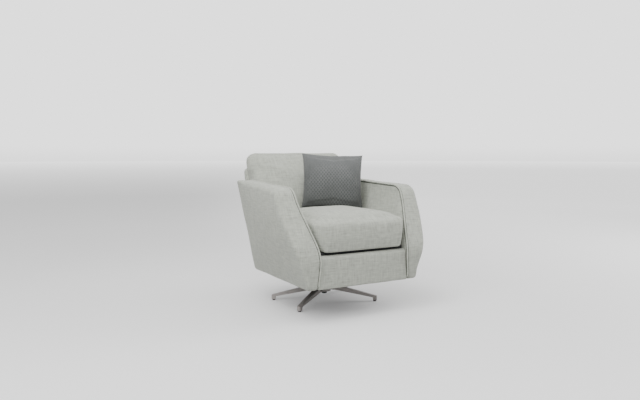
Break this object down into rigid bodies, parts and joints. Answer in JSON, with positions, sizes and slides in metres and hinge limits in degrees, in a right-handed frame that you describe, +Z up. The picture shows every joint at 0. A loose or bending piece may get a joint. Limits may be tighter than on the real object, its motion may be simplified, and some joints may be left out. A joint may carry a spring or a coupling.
{
  "type": "swivel armchair",
  "caption": "Low upholstered swivel armchair with flared arms, a box seat cushion, a reclined back, a loose patterned scatter cushion and a flat metal star base.",
  "frame": {"origin": "on the swivel axis at the floor, below the middle of the seat", "axes": "+Z up, -Y towards the chair's front, +X to the right of someone who looks at its front"},
  "size_m": [0.834, 0.8145, 0.8064],
  "materials": {
    "upholstery": "pale grey-green woven linen look, matt",
    "piping": "the same woven cloth over a cord",
    "scatter_cloth": "dark grey cloth with a small light diamond lattice",
    "satin_metal": "satin, warm grey",
    "steel": "zinc plated",
    "dark_steel": "black oxide",
    "bearing_steel": "ground",
    "ball_steel": "polished",
    "brass": "plain",
    "nylon": "natural",
    "glide_plastic": "black",
    "timber": "planed hardwood, bare",
    "plywood": "birch plywood, bare",
    "spring_wire": "oiled spring wire",
    "webbing": "woven elastic webbing",
    "deck_cloth": "dark deck cloth over felt",
    "dust_cloth": "black spunbonded cloth"
  },
  "bodies": {
    "base": {"star_hub": "satin_metal", "leg_front_left": "satin_metal", "leg_front_right": "satin_metal", "leg_rear_left": "satin_metal", "leg_rear_right": "satin_metal", "leg_screws": "dark_steel", "foot_glides": "glide_plastic", "spindle": "steel", "spindle_washer": "steel", "spindle_nut": "dark_steel", "lower_race": "bearing_steel", "bearing_balls": "ball_steel", "ball_cage": "brass", "retaining_washer": "steel", "retaining_clip": "dark_steel"},
    "chair_body": {"upper_race": "bearing_steel", "swivel_tube": "steel", "swivel_bush": "nylon", "swivel_plate": "dark_steel", "plate_bolts": "steel", "front_bearer": "timber", "rear_bearer": "timber", "left_side_rail": "timber", "right_side_rail": "timber", "front_rail": "timber", "rear_rail": "timber", "corner_blocks": "timber", "seat_springs": "spring_wire", "spring_clips": "nylon", "seat_deck": "deck_cloth", "dust_cover": "dust_cloth", "left_arm_panel": "plywood", "right_arm_panel": "plywood", "left_arm": "upholstery", "right_arm": "upholstery", "left_arm_piping": "piping", "right_arm_piping": "piping", "arm_bolts": "steel", "front_border": "upholstery", "left_back_post": "timber", "right_back_post": "timber", "back_bolts": "steel", "back_top_rail": "timber", "back_lumbar_rail": "timber", "back_webbing": "webbing", "back_rest": "upholstery", "outside_back": "upholstery", "back_cushion": "upholstery"},
    "seat_cushion": {"seat_cushion": "upholstery"},
    "scatter_cushion": {"scatter_cushion": "scatter_cloth"}
  },
  "joints": [
    {"name": "seat_swivel", "type": "hinge", "parent": "base", "child": "chair_body", "pos_m": [0, 0, 0.12], "axis": [0, 0, 1], "continuous": true},
    {"name": "seat_cushion_pull", "type": "slide", "parent": "chair_body", "child": "seat_cushion", "axis": [0, -0.9659, 0.2588], "range_m": [0, 0.6]},
    {"name": "scatter_lift", "type": "slide", "parent": "seat_cushion", "child": "scatter_cushion", "axis": [0, -0.5, 0.866], "range_m": [0, 0.35]}
  ]
}
